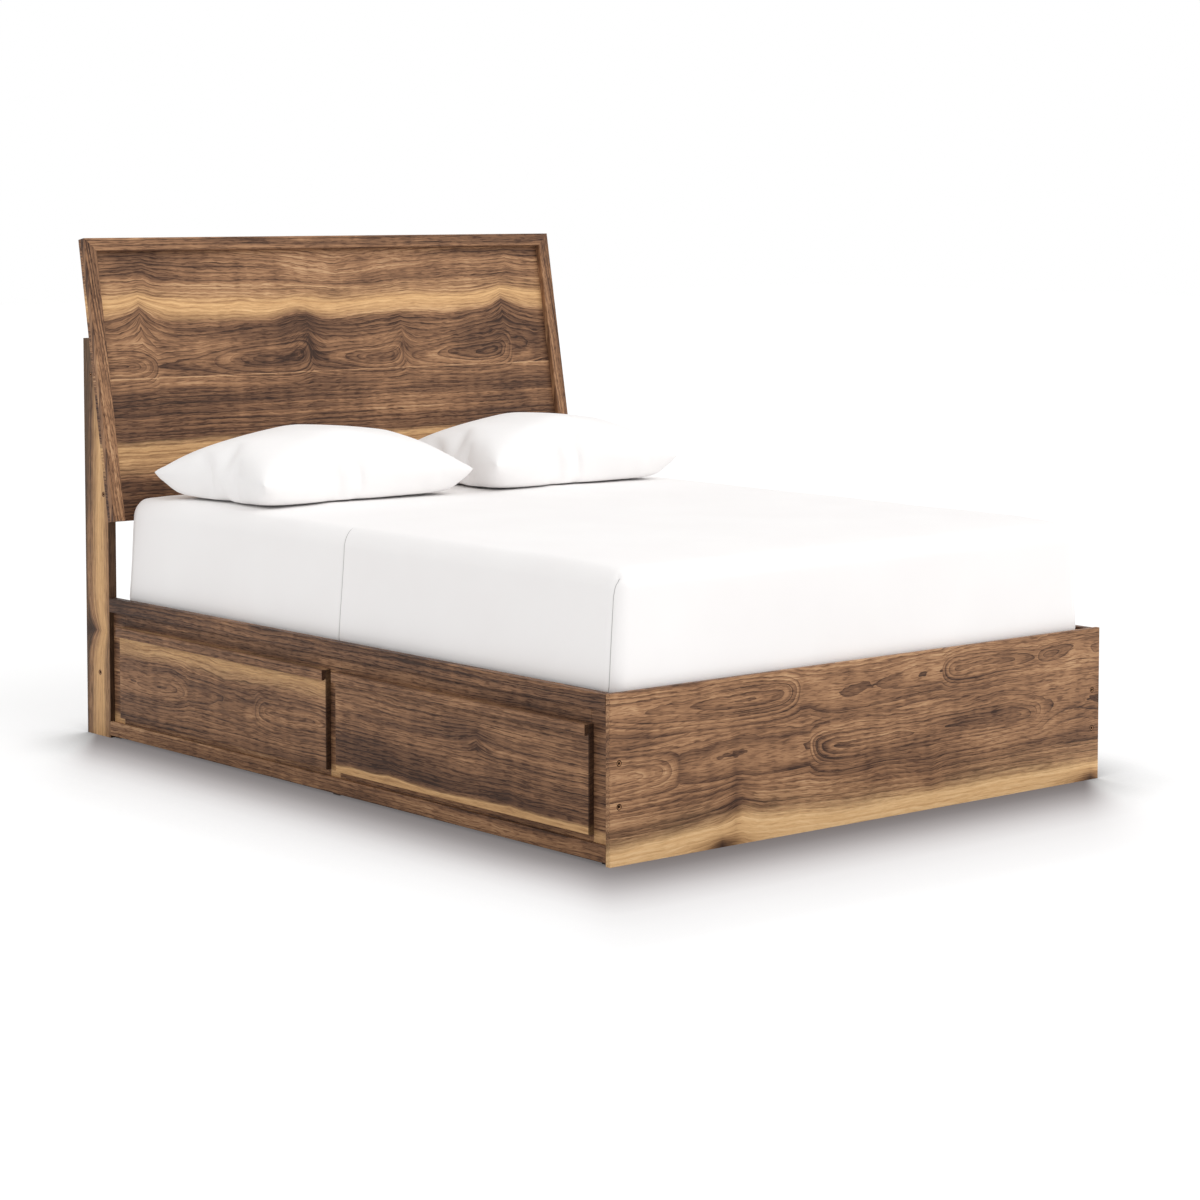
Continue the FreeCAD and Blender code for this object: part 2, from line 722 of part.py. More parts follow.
def channel(body, height, start, depth, towards):
    """A C-shaped steel strip whose back is at start and whose lips reach by depth."""
    rise = f"(outer_height - {height}) / 2"
    face = f"{OPENING} / 2 - {start}"
    lip = f"{OPENING} / 2 - {start} - {depth}"
    inner = f"{OPENING} / 2 - {start} - runner_steel"
    if towards == "out":
        inner = f"{OPENING} / 2 - {start} - {depth} + runner_steel"
        face, lip = lip, face
    low = f"({rise} + runner_steel)"
    high = f"({rise} + {height} - runner_steel)"
    points = [
        (lip, rise), (face, rise), (face, f"{rise} + {height}"), (lip, f"{rise} + {height}"),
        (lip, high), (inner, high), (inner, low), (lip, low),
    ]
    if height == "outer_height":
        points = [(x, "0" if y == rise else y) for x, y in points]
    pad(body, "YZ_Plane", points, "runner_length")
    doc.recompute()
    mirror(body, "XZ_Plane")


def runner_body(label, side, along):
    middle = f"{along} + {FRONT} / 2"
    return in_unit(label, side, ("runner_inset", middle, "runner_rise - outer_height / 2"))


CASE_MEMBERS = []


def make_runners(name, side, along):
    outer = runner_body(f"{name}_case_members", side, along)
    channel(outer, "outer_height", "0", "outer_depth", "in")
    CASE_MEMBERS.append(outer)
    middle = runner_body(f"{name}_middle_members", side, along)
    channel(middle, "middle_height", "middle_start", "middle_depth", "in")
    keep(middle)
    inner = runner_body(f"{name}_box_members", side, along)
    start = "(runner_width - inner_depth)"
    channel(inner, "inner_height", start, "inner_depth", "out")
    keep(inner)


# ------------------------------------------------------------------- bolts and glides
# Countersunk furniture bolts, heads flush; a nylon pad under each end of every upright.
def make_bolt(label, length, spot, turn=None):
    """A bolt along the body's +Z, its head's face at the body's origin."""
    bolt = new_body(label, spot, turn)
    sketch = new_sketch(bolt, "XZ_Plane")
    half = [
        ("0", "0"),
        ("bolt_head", "0"),
        ("bolt_shank", "bolt_head - bolt_shank"),
        ("bolt_shank", length),
        ("0", length),
    ]
    draw_outline(sketch, half)
    turned = bolt.newObject("PartDesign::Revolution", "Revolution")
    turned.Profile = sketch
    turned.ReferenceAxis = (sketch, ["V_Axis"])
    turned.Angle = 360
    return bolt


def make_bolts():
    bolts = []
    to_head = (X_AXIS, "-90 + 0 * bed_width")
    to_foot = (X_AXIS, "90 + 0 * bed_width")
    for across in (f"-bed_width / 2 + {BOLT_INSET}", f"bed_width / 2 - {BOLT_INSET}"):
        for up in FOOT_BOLT_HEIGHTS:
            spot = (across, f"-{OVERALL} / 2 + fit_gap", up)
            bolts.append(make_bolt("footboard_bolt", "footboard_thickness + bolt_reach", spot, to_head))
    for across in ("rail_thickness / 2 - bed_width / 2", "bed_width / 2 - rail_thickness / 2"):
        for up in BED_BOLT_HEIGHTS:
            spot = (across, f"{LEG_Y} + leg_depth - fit_gap", up)
            bolts.append(make_bolt("bed_bolt", "leg_depth + bolt_reach", spot, to_foot))
    for along, up in RAIL_SPOTS.values():
        for across, angle in (("fit_gap - bed_width / 2", "90"), ("bed_width / 2 - fit_gap", "-90")):
            spot = (across, f"{LEG_Y} + {along}", up)
            turn = (Y_AXIS, f"{angle} + 0 * bed_width")
            bolts.append(make_bolt("back_rail_bolt", "leg_thickness + bolt_reach", spot, turn))
    group("connector_bolts", bolts)


def make_glides():
    glides = []
    along_spots = ("glide_inset", "side_length / 2", "side_length - glide_inset")
    for side in (-1, 1):
        for across in ("stile_setback + stile_thickness / 2",
                       "unit_depth - back_panel_thickness / 2"):
            for along in along_spots:
                glide = doc.addObject("Part::Box", "glide")
                bind(glide, "Length", "glide_size")
                bind(glide, "Width", "glide_size")
                bind(glide, "Height", "floor_gap")
                middle = f"{side} * (bed_width / 2 - ({across}))"
                bind(glide, "Placement.Base.x", f"{middle} - glide_size / 2")
                bind(glide, "Placement.Base.y", f"{UNIT_Y} + {along} - glide_size / 2")
                glides.append(glide)
    group("floor_glides", glides)


# ----------------------------------------------------------------------------- bedding
# The mattress is a soft-cornered block in the recess of the side rails; a pillow is
# plump over its side seam and flatter below it.
def rims_of(body, end):
    """Names of the edges round the flat top or bottom of the body's last feature."""
    shape = body.Tip.Shape
    level = shape.BoundBox.ZMax if end == "top" else shape.BoundBox.ZMin
    return [
        f"Edge{number}" for number, edge in enumerate(shape.Edges, start=1)
        if edge.BoundBox.ZLength < 0.001 and abs(edge.BoundBox.ZMax - level) < 0.001
    ]


def make_mattress():
    spot = (f"-{MATTRESS_WIDTH} / 2", MATTRESS_Y, "slat_top + rest_gap")
    mattress = new_body("mattress", spot)
    block = rectangle(MATTRESS_WIDTH, MATTRESS_LENGTH)
    pad(mattress, "XY_Plane", block, "mattress_height")
    doc.recompute()
    dress(mattress, "Fillet", "mattress_corner", edges_along(mattress.Tip.Shape, Z_AXIS))
    rims = rims_of(mattress, "top") + rims_of(mattress, "bottom")
    dress(mattress, "Chamfer", "mattress_soft", rims)
    keep(mattress)


def make_pillow(label, side):
    across = f"-pillow_middle_gap - {PILLOW_LENGTH}" if side == "left" else "pillow_middle_gap"
    spot = (across, f"{LEG_Y} - pillow_from_head - pillow_depth", f"{MATTRESS_TOP} + rest_gap")
    pillow = new_body(label, spot)
    pad(pillow, "XY_Plane", rectangle(PILLOW_LENGTH, "pillow_depth"), "pillow_height")
    soften(pillow, Z_AXIS, "pillow_corner")
    dress(pillow, "Chamfer", "pillow_height - pillow_seam - pillow_flat", rims_of(pillow, "top"))
    dress(pillow, "Chamfer", "pillow_seam - pillow_flat / 2", rims_of(pillow, "bottom"))
    keep(pillow)


# --------------------------------------------------------------------- build and write
make_footboard()
for side in ("left", "right"):
    make_leg(f"{side}_leg", side)
make_headboard()
group("back_rails", [make_back_rail(name) for name in RAIL_SPOTS])
for side in ("left", "right"):
    make_rails(side)
    for place in ("near", "middle", "far"):
        make_upright(side, place)
group("back_panels", [make_back_panel(side) for side in ("left", "right")])
group("inner_rails", [
    strip
    for side in ("left", "right") for bay in (1, 2)
    for strip in make_inner_rails(side, bay)
])
make_deck()
for side in ("left", "right"):
    for bay in (1, 2):
        make_drawer(side, bay)
group("runner_case_members", CASE_MEMBERS)
make_bolts()
make_glides()
make_mattress()
for side in ("left", "right"):
    make_pillow(f"{side}_pillow", side)
doc.recompute()

for thing in doc.Objects:
    if "Invalid" in thing.State or "Error" in thing.State:
        raise RuntimeError(f"{thing.Label} failed: {thing.State}")
os.makedirs("parts", exist_ok=True)
for piece in PARTS:
    if piece.Shape.isNull() or not piece.Shape.isValid():
        raise RuntimeError(f"{piece.Label} has no valid shape")
for piece in PARTS:
    piece.Shape.exportStep(f"parts/{piece.Label}.step")
print(len(PARTS), "pieces written")
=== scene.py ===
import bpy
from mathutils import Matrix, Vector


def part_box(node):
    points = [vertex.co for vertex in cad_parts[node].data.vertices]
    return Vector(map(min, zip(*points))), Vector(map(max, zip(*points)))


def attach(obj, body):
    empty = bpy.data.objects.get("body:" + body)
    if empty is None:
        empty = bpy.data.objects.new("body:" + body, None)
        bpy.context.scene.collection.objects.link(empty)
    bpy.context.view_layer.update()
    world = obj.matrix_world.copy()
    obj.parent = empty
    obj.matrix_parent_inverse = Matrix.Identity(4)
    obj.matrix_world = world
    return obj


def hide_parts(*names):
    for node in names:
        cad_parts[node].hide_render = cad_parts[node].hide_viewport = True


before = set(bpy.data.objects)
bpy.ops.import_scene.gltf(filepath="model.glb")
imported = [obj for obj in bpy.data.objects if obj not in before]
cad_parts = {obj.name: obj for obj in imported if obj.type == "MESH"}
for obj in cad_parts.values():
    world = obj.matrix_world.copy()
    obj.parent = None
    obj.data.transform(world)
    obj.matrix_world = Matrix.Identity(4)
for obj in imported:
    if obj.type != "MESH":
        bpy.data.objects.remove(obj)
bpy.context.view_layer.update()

# A queen platform bed in walnut with four storage drawers, its mattress and two pillows.
# Metres, in the bed's own frame: +X across the bed, +Y towards the head, +Z up, with the
# origin on the floor under the middle of the bed.


def paint(code):
    """A colour written as six hex digits, in the linear light that the shader uses."""
    parts = [int(code[i:i + 2], 16) / 255 for i in (0, 2, 4)]
    return (*[c / 12.92 if c <= 0.04045 else ((c + 0.055) / 1.055) ** 2.4 for c in parts], 1)


class Measure:
    """A number that changes over a surface; sums written with it add Math nodes."""

    def __init__(self, finish, socket):
        self.finish = finish
        self.socket = socket

    def step(self, operation, first, second=0.0):
        return self.finish.add("Math", {"operation": operation}, {0: first, 1: second})

    def __add__(self, other):
        return self.step("ADD", self, other)

    def __sub__(self, other):
        return self.step("SUBTRACT", self, other)

    def __mul__(self, other):
        return self.step("MULTIPLY", self, other)

    def __pow__(self, other):
        return self.step("POWER", self, other)

    def __radd__(self, other):
        return self.step("ADD", other, self)

    def __rsub__(self, other):
        return self.step("SUBTRACT", other, self)

    def __rmul__(self, other):
        return self.step("MULTIPLY", other, self)

    def __rpow__(self, other):
        return self.step("POWER", other, self)

    def __abs__(self):
        return self.step("ABSOLUTE", self)

    def fraction(self):
        return self.step("FRACT", self)

    def bell(self):
        """1 where this number is 0, falling away to nothing as it grows."""
        return 2.71828 ** (0 - self)

    def above(self, level, width):
        """0 below a level and 1 above it, with a soft step of a width between."""
        settings = {"interpolation_type": "SMOOTHSTEP"}
        ends = {0: self, 1: level - width / 2, 2: level + width / 2}
        return self.finish.add("MapRange", settings, ends)

    def beside(self, name):
        """Another output of the node that this number comes from."""
        return Measure(self.finish, self.socket.node.outputs[name])


class Finish:
    """The finish of a kind of piece, and the one way in which its nodes are made."""

    def __init__(self, owner):
        self.owner = owner
        owner.use_nodes = True
        self.tree = owner.node_tree
        self.tree.nodes.clear()

    def add(self, kind, settings, sockets, output=0):
        """Adds a node: its settings first, then its sockets, by number or by name."""
        node = self.tree.nodes.new("ShaderNode" + kind)
        for word, value in settings.items():
            if word == "stops":
                # A fresh ramp holds two stops of its own, which these take the place of.
                elements = node.color_ramp.elements
                elements.remove(elements[1])
                for place, colour in value:
                    elements.new(place).color = colour
                elements.remove(elements[0])
            else:
                setattr(node, word, value)
        for name, value in sockets.items():
            if isinstance(value, Measure):
                self.tree.links.new(value.socket, node.inputs[name])
            else:
                node.inputs[name].default_value = value
        return Measure(self, node.outputs[output]) if node.outputs else None

    def places(self):
        """The x, y and z of a point of the piece."""
        spot = self.add("TexCoord", {}, {}, "Object")
        x = self.add("SeparateXYZ", {}, {0: spot})
        return x, x.beside("Y"), x.beside("Z")

    def noise(self, spot, detail=2.0, roughness=0.5):
        """Cloudy noise from 0 to 1 at a place given by three numbers."""
        where = self.add("CombineXYZ", {}, dict(enumerate(spot)))
        look = {"Vector": where, "Scale": 1.0, "Detail": detail, "Roughness": roughness}
        return self.add("TexNoise", {}, look)

    def mix(self, factor, first, second, kind="MIX"):
        """One colour laid over another."""
        settings = {"data_type": "RGBA", "blend_type": kind, "clamp_factor": True}
        return self.add("Mix", settings, {0: factor, 6: first, 7: second}, 2)

    def ramp(self, share, stops):
        """Colours or bare amounts laid out along a number from 0 to 1."""
        stops = [(place, value if isinstance(value, tuple) else (value, value, value, 1))
                 for place, value in stops]
        return self.add("ValToRGB", {"stops": stops}, {0: share})

    def shade(self, look, height, depth):
        """Ends the tree in a Principled shader, with a fine relief of a depth."""
        relief = self.add("Bump", {}, {"Height": height, "Distance": depth, "Strength": 1.0})
        shader = self.add("BsdfPrincipled", {}, {**look, "Normal": relief})
        self.add("OutputMaterial", {}, {"Surface": shader})
        return self.owner


def walnut(name, lie, span, tones, gold, ridges=(), plumes=(), peaks=(), seed=0.0,
           wander=0.03, deep=0.05, joint=-9.0, pale=0.67, dark_grain_and_shade_ends=None, painted_shade_front=False):
    """Lacquered walnut. lie gives, from x, y and z, the places along the grain, across it
    and into the board; span is the board's lowest and highest place across; tones and gold
    are stops of heartwood tone and of sapwood over that span, and wander is how far the
    grain strays. Along one or two ridges, where the saw came near the heart, the growth
    rings lie deep apart and close into plumes, with a tight tip and a long tail; beside
    old branches they rise to peaks. Each of these is given by where along, where across,
    how long and how high, then by how much of the ridge's depth it takes away, or how far
    it lifts the rings and how darkly it stains them; a plume whose length is negative lies
    the other way. joint is where two sheets of veneer meet and pale how light the sapwood
    is; dark_grain_and_shade_ends names the axis along which the board's end faces are darkened,
    for dark end grain and painted shade together, and painted_shade_front paints shade on only the
    face towards the foot of the bed."""
    finish = Finish(bpy.data.materials.new(name))
    along, across, inward = lie(*finish.places())
    sheet_shift = across.above(joint, 0.0005) * 0.43
    run = along + sheet_shift
    drift = finish.noise((run * 1.6, across * 5, inward * 5 + seed), 2)
    curl = finish.noise((run * 8, across * 14, inward * 14 + seed + 7), 3, 0.6)
    level = across + inward * 0.35 + (drift - 0.5) * wander * 2 + (curl - 0.5) * wander * 0.7
    stained = 0.0
    for at, up, long, high, lift, stain in peaks:
        reach = abs(along - at) * (1 / long) + ((across - up) * (1 / high)) ** 2
        peak = reach.bell()
        level = level - lift * peak
        stained = peak * stain + stained
    low, high = span
    share = (level - low) * (1 / (high - low))
    tone = finish.ramp(share, tones)
    sap = finish.ramp(share, gold)

    # Growth rings: level lines across the grain, folded over the ridges.
    ring = level
    if ridges:
        middle = sum(ridges) / len(ridges)
        half = (ridges[-1] - ridges[0]) / 2
        fold = abs(level - middle) - half
        depth = deep + (drift - 0.5) * 0.12 + (curl - 0.5) * 0.015
        for at, up, long, high, dip in plumes:
            away = (along - at) * (1 / long)
            away = away.step("MAXIMUM", away, 0.0)
            reach = away - 1 + ((across - up) * (1 / high)) ** 2
            depth = depth - dip * away * reach.bell()
        ring = (fold ** 2 + depth ** 2) ** 0.5

    # What shows of them and of the pores: broad bands and dark lines that follow the
    # rings, fine streaks along the grain, smoky clouds, and a ripple across the grain.
    band = finish.noise((ring * 50, run * 0.3, seed + 3), 4, 0.6)
    line = (ring * 84 + band * 3).fraction() ** 4
    worn = finish.noise((run * 2.5, level * 18, seed + 11), 2)
    fine = finish.noise((ring * 170, run * 1.3 + drift * 2, seed + 5), 5, 0.65)
    streak = finish.noise((run * 16, level * 260, inward * 260 + seed), 4, 0.75)
    smoke = finish.noise((run * 2, level * 12, seed + 19), 3, 0.6)
    ripple = finish.noise((run * 22, across * 5, inward * 4 + seed), 2)
    pore = finish.noise((run * 30, level * 340, inward * 340 + seed), 1).above(0.57, 0.12)

    tone = tone + (band - 0.5) * 0.95 + (fine - 0.5) * 0.66 + (smoke - 0.5) * 1.1
    tone = tone + (streak - 0.5) * 0.55 + (ripple - 0.5) * 0.36 + 0.1
    tone = tone - line * (worn * 1.6 - 0.25) * 0.75 - pore * 0.24 - stained
    glue_line = 1 - abs(across - joint).above(0.0018, 0.0016)
    tone = tone + glue_line * 0.3
    heartwood = finish.ramp(tone, [
        (0.0, paint("38251b")),
        (0.2, paint("553a2a")),
        (0.4, paint("70503a")),
        (0.6, paint("8d674a")),
        (0.8, paint("aa805d")),
        (1.0, paint("c69e77")),
    ])
    glow = pale + (streak - 0.5) * 0.8 + (fine - 0.5) * 0.7 + (band - 0.5) * 0.6
    glow = glow - line * 0.2 - pore * 0.1 - stained
    sapwood = finish.ramp(glow, [
        (0.0, paint("7c583c")),
        (0.3, paint("ad8258")),
        (0.55, paint("d0a371")),
        (0.8, paint("e6bb86")),
        (1.0, paint("f2cb98")),
    ])
    sap = sap + (fine + streak - 1) * 0.7 * (1 - sap) * sap * 4 - stained
    colour = finish.mix(sap, heartwood, sapwood)
    # Darkened faces: on drawer fronts and pulls, dark end grain together with painted shade in the
    # gaps; on the legs, only painted shade on the face towards the foot.
    if dark_grain_and_shade_ends or painted_shade_front:
        facing = finish.add("NewGeometry", {}, {}, "True Normal")
        end = finish.add("SeparateXYZ", {}, {0: facing}, dark_grain_and_shade_ends or "Y")
        end = (0 - end if painted_shade_front else abs(end)).above(0.6, 0.3)
        colour = finish.mix(end * 0.8, colour, paint("2c1b12"))
    gloss = 0.52 + (streak - 0.5) * 0.12 + pore * 0.1
    look = {"Base Color": colour, "Roughness": gloss, "IOR": 1.45, "Specular IOR Level": 0.25}
    return finish.shade(look, streak * 0.3 - pore * 0.7, 0.0002)


def dress(nodes, material):
    """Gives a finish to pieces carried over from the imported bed."""
    for name in nodes:
        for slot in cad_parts[name].material_slots:
            slot.material = material


FOOT = 1.1  # from the bed's middle to its footboard's face
FOOTBOARD_TOP = 0.38
footboard_walnut = walnut(
    "footboard_walnut",
    lie=lambda x, y, z: (x, z, y + FOOT),
    span=(0.0, FOOTBOARD_TOP),
    tones=[(0.0, 0.6), (0.15, 0.56), (0.3, 0.6), (0.55, 0.6), (0.8, 0.64), (1.0, 0.6)],
    gold=[(0.0, 1.0), (0.07, 1.0), (0.12, 0.4), (0.16, 0.1), (0.3, 0.0)],
    ridges=(0.186, 0.322),
    deep=0.055,
    plumes=[
        (-0.20, 0.186, 0.14, 0.09, 0.055),
        (-0.23, 0.322, -0.15, 0.06, 0.05),
        (0.235, 0.33, 0.10, 0.05, 0.045),
        (0.57, 0.337, 0.20, 0.06, 0.05),
        (0.60, 0.205, -0.16, 0.05, 0.04),
        (-0.60, 0.206, -0.16, 0.06, 0.05),
    ],
    peaks=[
        (-0.41, 0.09, 0.10, 0.10, 0.022, 0.0),
        (-0.43, 0.10, 0.03, 0.10, 0.006, 0.25),
        (-0.47, 0.0, 0.05, 0.022, 0.02, 0.9),
        (0.77, 0.0, 0.06, 0.022, 0.015, 0.9),
        (0.20, 0.09, 0.05, 0.06, -0.008, 0.1),
        (0.05, 0.11, 0.04, 0.03, 0.008, 0.1),
        (0.30, 0.20, 0.05, 0.02, 0.0, 0.3),
        (0.42, 0.21, 0.03, 0.015, 0.0, 0.3),
        (-0.15, 0.18, 0.03, 0.03, 0.0, 0.25),
    ],
    pale=0.9,
    seed=2.0,
    wander=0.022,
)
dress(["footboard"], footboard_walnut)

# Legs and back rails
# Two walnut boards on edge hold the headboard on their sloping fronts; their grain
# stands upright round a streak of sapwood. Three rails are bolted between them.
SIDE = 0.8  # from the bed's middle to the faces of its two sides
LEG_FRONT = 0.97
LEG_DEPTH = 0.12
leg_walnut = walnut(
    "leg_walnut",
    lie=lambda x, y, z: (z, y - LEG_FRONT, x + SIDE),
    span=(0.0, LEG_DEPTH),
    tones=[(0.0, 0.5), (0.3, 0.62), (0.7, 0.56), (0.9, 0.5), (0.97, 0.2), (1.0, 0.05)],
    gold=[(0.0, 0.1), (0.14, 0.2), (0.3, 0.85), (0.5, 0.95), (0.66, 0.5), (0.84, 0.1)],
    peaks=[(0.286, 0.12, 0.035, 0.09, -0.06, 0.1), (1.12, 0.05, 0.3, 0.3, -0.04, 0.0)],
    seed=5.0,
    wander=0.012,
    # the face towards the foot gets painted shade
    painted_shade_front=True,
)
dress(["left_leg", "right_leg"], leg_walnut)

back_rail_walnut = walnut(
    "back_rail_walnut",
    lie=lambda x, y, z: (x, z, y),
    span=(0.0, 1.4),
    tones=[(0.0, 0.45), (1.0, 0.45)],
    gold=[(0.0, 0.0), (1.0, 0.0)],
    seed=9.0,
)
dress(["back_rails"], back_rail_walnut)

# Headboard
# A veneered panel leans back on the legs, its grain across the bed, framed on three
# sides by solid mouldings mitred at the top corners.
PANEL_FOOT = 0.584
PANEL_LENGTH = 0.766
LEAN = 0.9835  # how much of the panel's length is rise
headboard_walnut = walnut(
    "headboard_walnut",
    lie=lambda x, y, z: (x, (z - PANEL_FOOT) * (1 / LEAN), (y - 1.0) * 0.2),
    span=(0.0, PANEL_LENGTH),
    tones=[
        (0.0, 0.36), (0.12, 0.36), (0.2, 0.5), (0.29, 0.36), (0.36, 0.5), (0.42, 0.4),
        (0.5, 0.56), (0.53, 0.5), (0.62, 0.44), (0.67, 0.44), (0.71, 0.66), (0.8, 0.72),
        (0.87, 0.58), (1.0, 0.58),
    ],
    gold=[
        (0.15, 0.0), (0.2, 0.6), (0.25, 0.8), (0.28, 0.0),
        (0.695, 0.0), (0.73, 0.75), (0.765, 1.0), (0.8, 0.2), (0.86, 0.0),
    ],
    ridges=(0.42,),
    deep=0.06,
    plumes=[
        (-0.60, 0.41, -0.14, 0.08, 0.06),
        (-0.09, 0.43, -0.10, 0.06, 0.055),
        (0.24, 0.43, -0.10, 0.06, 0.055),
        (0.63, 0.42, -0.12, 0.07, 0.055),
    ],
    peaks=[
        (-0.642, 0.56, 0.03, 0.05, 0.03, 0.0),
        (-0.642, 0.52, 0.10, 0.08, 0.03, 0.0),
        (0.608, 0.56, 0.035, 0.05, 0.03, 0.0),
        (0.608, 0.52, 0.11, 0.08, 0.03, 0.0),
        (-0.13, 0.52, 0.07, 0.07, 0.03, 0.0),
        (-0.096, 0.47, 0.025, 0.07, 0.045, 0.3),
        (0.231, 0.45, 0.03, 0.06, 0.045, 0.3),
        (-0.62, 0.67, 0.05, 0.06, 0.016, 0.1),
        (0.64, 0.67, 0.05, 0.06, 0.016, 0.1),
        (0.02, 0.68, 0.16, 0.09, -0.022, 0.0),
        (-0.40, 0.32, 0.14, 0.02, 0.0, 0.3),
    ],
    joint=0.381,
    seed=13.0,
    wander=0.024,
)
dress(["headboard_panel"], headboard_walnut)

moulding_walnut = walnut(
    "moulding_walnut",
    lie=lambda x, y, z: (z, x, y),
    span=(-SIDE, SIDE),
    tones=[(0.0, 0.44), (0.015, 0.56), (0.985, 0.56), (1.0, 0.44)],
    gold=[(0.0, 0.0), (1.0, 0.0)],
    seed=17.0,
    wander=0.01,
)
dress(["headboard_left_stile", "headboard_right_stile"], moulding_walnut)
top_walnut = walnut(
    "top_walnut",
    lie=lambda x, y, z: (x, z - 1.3, y),
    span=(-0.1, 0.1),
    tones=[(0.0, 0.5), (1.0, 0.55)],
    gold=[(0.0, 0.0), (1.0, 0.0)],
    seed=19.0,
    wander=0.01,
)
dress(["headboard_top_rail"], top_walnut)

# Side units
# Each side is a face frame of solid walnut rails and uprights on low glides, with the
# drawers' fronts laid over it, and a birch panel closes its back.
def along_side(x, y, z):
    """Grain along the bed, on the face of a side."""
    return y, z, abs(x) - SIDE


side_walnut = walnut(
    "side_walnut",
    lie=along_side,
    span=(0.0, 0.4),
    tones=[(0.0, 0.55), (0.3, 0.55), (0.7, 0.31), (1.0, 0.31)],
    gold=[(0.0, 0.0), (1.0, 0.0)],
    seed=23.0,
    wander=0.015,
)
dress([f"{side}_{level}_rail" for side in ("left", "right") for level in ("top", "bottom")],
      side_walnut)
STILE_FACE = SIDE - 0.013
UNIT_MIDDLE = -0.0617
BAY_SHIFT = 0.499  # from the unit's middle to the middle of a drawer's bay
BAY_HALF = 0.4795


def along_stile(x, y, z):
    """Grain that wraps round from a stile's face on to its runner partition, with the
    sapwood of its lower end kept out of the drawers' bays, so that the strip under each
    drawer stays dark as painted shade."""
    in_bay = 1 - abs(abs(y - UNIT_MIDDLE) - BAY_SHIFT).above(BAY_HALF, 0.002)
    low_down = 1 - z.above(0.1, 0.03)
    return y + STILE_FACE - abs(x), z + in_bay * low_down * 0.04, (abs(x) - STILE_FACE) * 0.1


stile_walnut = walnut(
    "stile_walnut",
    lie=along_stile,
    span=(0.04, 0.34),
    tones=[(0.0, 0.5), (0.2, 0.6), (0.5, 0.45), (1.0, 0.41)],
    gold=[(0.0, 0.8), (0.07, 0.7), (0.12, 0.0)],
    seed=29.0,
    wander=0.01,
)
dress([f"{side}_{end}_upright" for side in ("left", "right")
       for end in ("foot", "centre", "head")], stile_walnut)
dress(["inner_rails"], stile_walnut)


def birch(name, lie, seed):
    """Clear-lacquered birch: pale and close grained, with faint tan streaks."""
    finish = Finish(bpy.data.materials.new(name))
    along, across, inward = lie(*finish.places())
    streak = finish.noise((along * 4, across * 90, inward * 400 + seed), 4, 0.6)
    cloud = finish.noise((along * 2, across * 9, inward * 9 + seed), 2)
    tone = 0.5 + (streak - 0.5) * 0.7 + (cloud - 0.5) * 0.5
    colour = finish.ramp(tone, [
        (0.0, paint("b08a5c")), (0.5, paint("d2b084")), (1.0, paint("e4cba6")),
    ])
    look = {"Base Color": colour, "Roughness": 0.5 + (streak - 0.5) * 0.1}
    return finish.shade(look, streak, 0.0001)


panel_birch = birch("panel_birch", lambda x, y, z: (y, z + x, x), 31.0)
dress(["back_panels"], panel_birch)

# Slatted deck
# Thirteen birch slats lie loose across the bed under the mattress, on the side units' back
# panels and on a birch ledger along the inside of each.
slat_birch = birch("slat_birch", lambda x, y, z: (x, y, z), 37.0)
dress(["slats"], slat_birch)
ledger_birch = birch("ledger_birch", lambda x, y, z: (y, x, z), 41.0)
dress(["slat_ledgers"], ledger_birch)

# Drawers
# A walnut front with a solid pull glued along its top edge, on a birch box with a thin
# ply tray, hung on two steel ball runners.
DRAWERS = [f"{side}_{end}_drawer" for side in ("left", "right") for end in ("head", "foot")]
FRONT_SPAN = (0.06, 0.306)  # a drawer front's lower and upper edge
head_drawer_walnut = walnut(
    "head_drawer_walnut",
    lie=along_side,
    span=FRONT_SPAN,
    tones=[(0.0, 0.46), (0.5, 0.5), (0.7, 0.6), (1.0, 0.5)],
    gold=[(0.68, 0.0), (0.76, 0.35), (0.84, 0.8), (0.93, 0.6), (1.0, 0.2)],
    ridges=(0.168,),
    plumes=[(0.58, 0.167, 0.20, 0.07, 0.05), (0.27, 0.17, -0.14, 0.06, 0.05)],
    seed=43.0,
    wander=0.022,
    dark_grain_and_shade_ends="Y",
)
foot_drawer_walnut = walnut(
    "foot_drawer_walnut",
    lie=along_side,
    span=FRONT_SPAN,
    tones=[(0.0, 0.5), (0.08, 0.36), (0.3, 0.38), (0.42, 0.52), (0.8, 0.5), (1.0, 0.48)],
    gold=[(0.0, 1.0), (0.05, 0.9), (0.08, 0.0)],
    peaks=[
        (-0.64, 0.215, 0.05, 0.03, 0.02, 0.3),
        (-0.30, 0.10, 0.05, 0.05, 0.006, 0.1),
        (-0.76, 0.10, 0.04, 0.05, 0.008, 0.1),
    ],
    seed=47.0,
    wander=0.014,
    dark_grain_and_shade_ends="Y",
)
pull_walnut = walnut(
    "pull_walnut",
    lie=along_side,
    span=(0.2, 0.4),
    tones=[(0.0, 0.48), (1.0, 0.48)],
    gold=[(0.0, 0.0), (1.0, 0.0)],
    seed=53.0,
    wander=0.01,
    dark_grain_and_shade_ends="Y",
)
